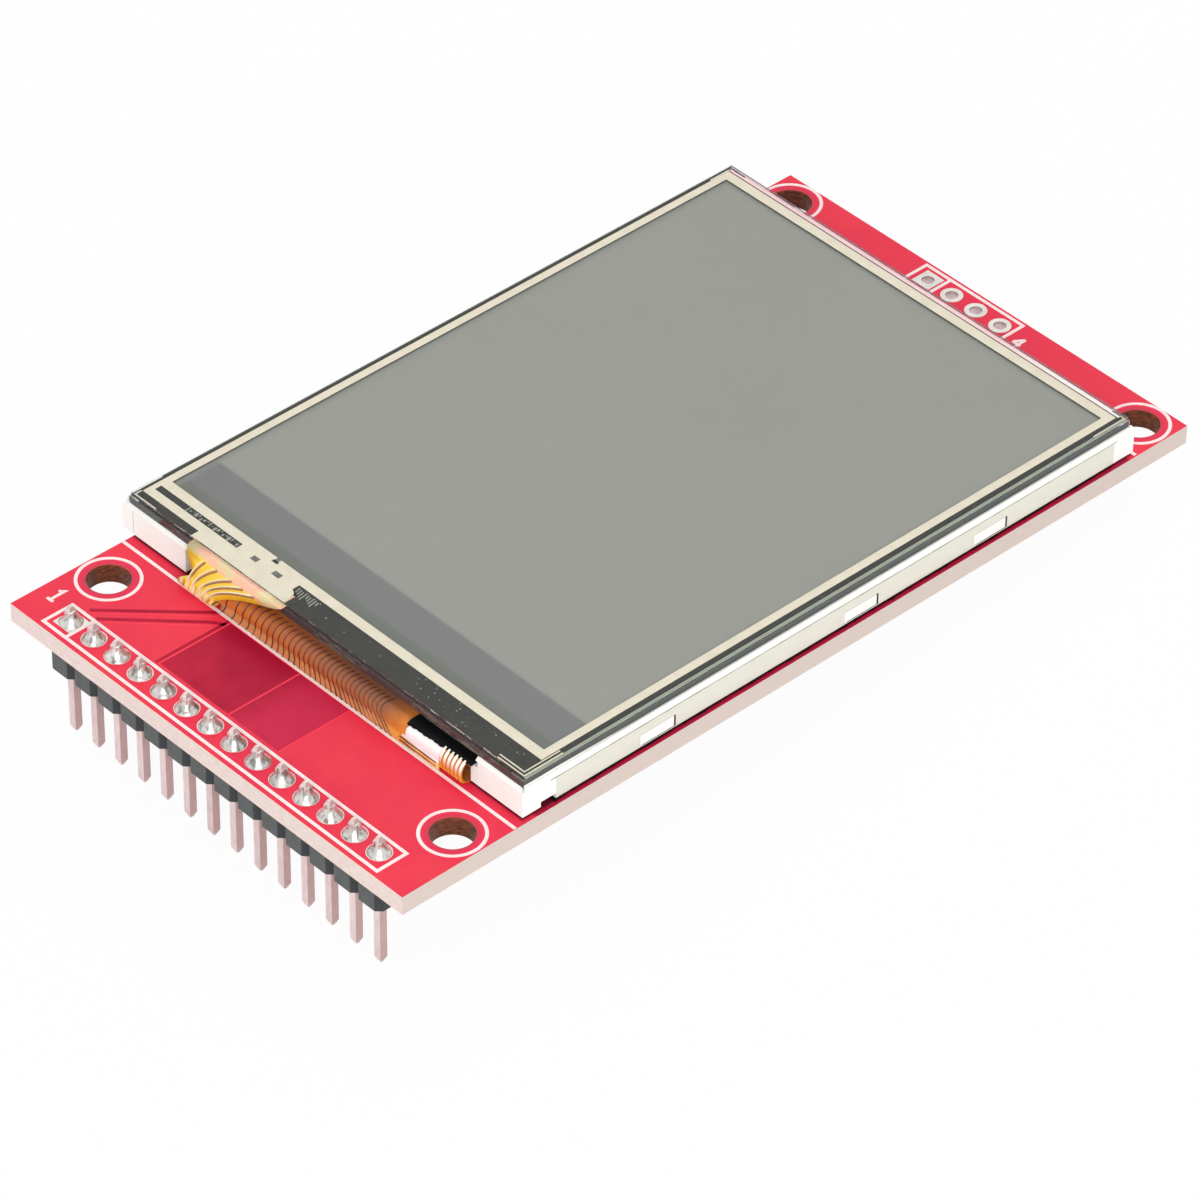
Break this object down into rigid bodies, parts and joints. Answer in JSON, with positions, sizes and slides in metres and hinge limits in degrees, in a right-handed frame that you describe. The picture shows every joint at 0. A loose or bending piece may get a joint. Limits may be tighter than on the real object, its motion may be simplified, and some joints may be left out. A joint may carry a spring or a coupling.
{
  "type": "tft display module",
  "caption": "Small colour touch display on a red circuit board, with a straight pin header below one end, four mounting holes and a memory card socket underneath.",
  "frame": {"origin": "centre of the four mounting holes, on the underside of the circuit board", "axes": "+Z out of the display, +Y from the pin header to the far end, +X across the board so that pin 1 is at -X"},
  "size_m": [0.0431, 0.077, 0.0136],
  "materials": {
    "board_red": "satin solder mask",
    "header_plastic": "matte",
    "pin_metal": "satin plating",
    "solder": "bright",
    "pad_metal": "bright",
    "black_tape": "matte",
    "frame_white": "satin",
    "pan_steel": "satin",
    "reflector_white": "matte",
    "light_guide_clear": "clear",
    "led_body": "gloss",
    "flex_amber": "satin film",
    "flex_yellow": "gloss film",
    "sheet_milky": "milky",
    "polarizer_grey": "satin",
    "cell_glass": "clear",
    "chip_silicon": "gloss",
    "shield_grey": "matte",
    "touch_glass": "clear",
    "touch_film": "satin clear",
    "socket_plastic": "matte",
    "shell_steel": "satin",
    "contact_gold": "bright",
    "chip_black": "matte",
    "resistor_black": "gloss",
    "capacitor_tan": "matte"
  },
  "bodies": {
    "root": {"circuit_board": "board_red", "header_strip": "header_plastic", "header_solder": "solder", "row_pads": "pad_metal", "mounting_tape": "black_tape", "panel_frame": "frame_white", "backlight_pan": "pan_steel", "reflector_sheet": "reflector_white", "light_guide": "light_guide_clear", "backlight_flex": "flex_yellow", "diffuser_sheet": "sheet_milky", "lower_prism_sheet": "sheet_milky", "upper_prism_sheet": "sheet_milky", "rear_polarizer": "polarizer_grey", "rear_glass": "cell_glass", "driver_chip": "chip_silicon", "display_flex": "flex_amber", "tail_tape": "black_tape", "light_shield_tape": "shield_grey", "front_glass": "cell_glass", "front_polarizer": "polarizer_grey", "touch_gasket": "black_tape", "touch_glass": "touch_glass", "touch_spacer": "touch_film", "touch_flex": "flex_yellow", "touch_film": "touch_film", "card_socket_base": "socket_plastic", "card_socket_shell": "shell_steel", "card_contacts": "contact_gold", "touch_controller": "chip_black", "voltage_regulator": "chip_black", "backlight_transistor": "chip_black", "header_pin_1": "pin_metal", "header_pin_2": "pin_metal", "header_pin_3": "pin_metal", "header_pin_4": "pin_metal", "header_pin_5": "pin_metal", "header_pin_6": "pin_metal", "header_pin_7": "pin_metal", "header_pin_8": "pin_metal", "header_pin_9": "pin_metal", "header_pin_10": "pin_metal", "header_pin_11": "pin_metal", "header_pin_12": "pin_metal", "header_pin_13": "pin_metal", "header_pin_14": "pin_metal", "backlight_led_1": "led_body", "resistor_1": "resistor_black", "capacitor_1": "capacitor_tan", "backlight_led_2": "led_body", "resistor_2": "resistor_black", "capacitor_2": "capacitor_tan", "backlight_led_3": "led_body", "resistor_3": "resistor_black", "capacitor_3": "capacitor_tan", "backlight_led_4": "led_body", "resistor_4": "resistor_black", "capacitor_4": "capacitor_tan"}
  },
  "joints": []
}
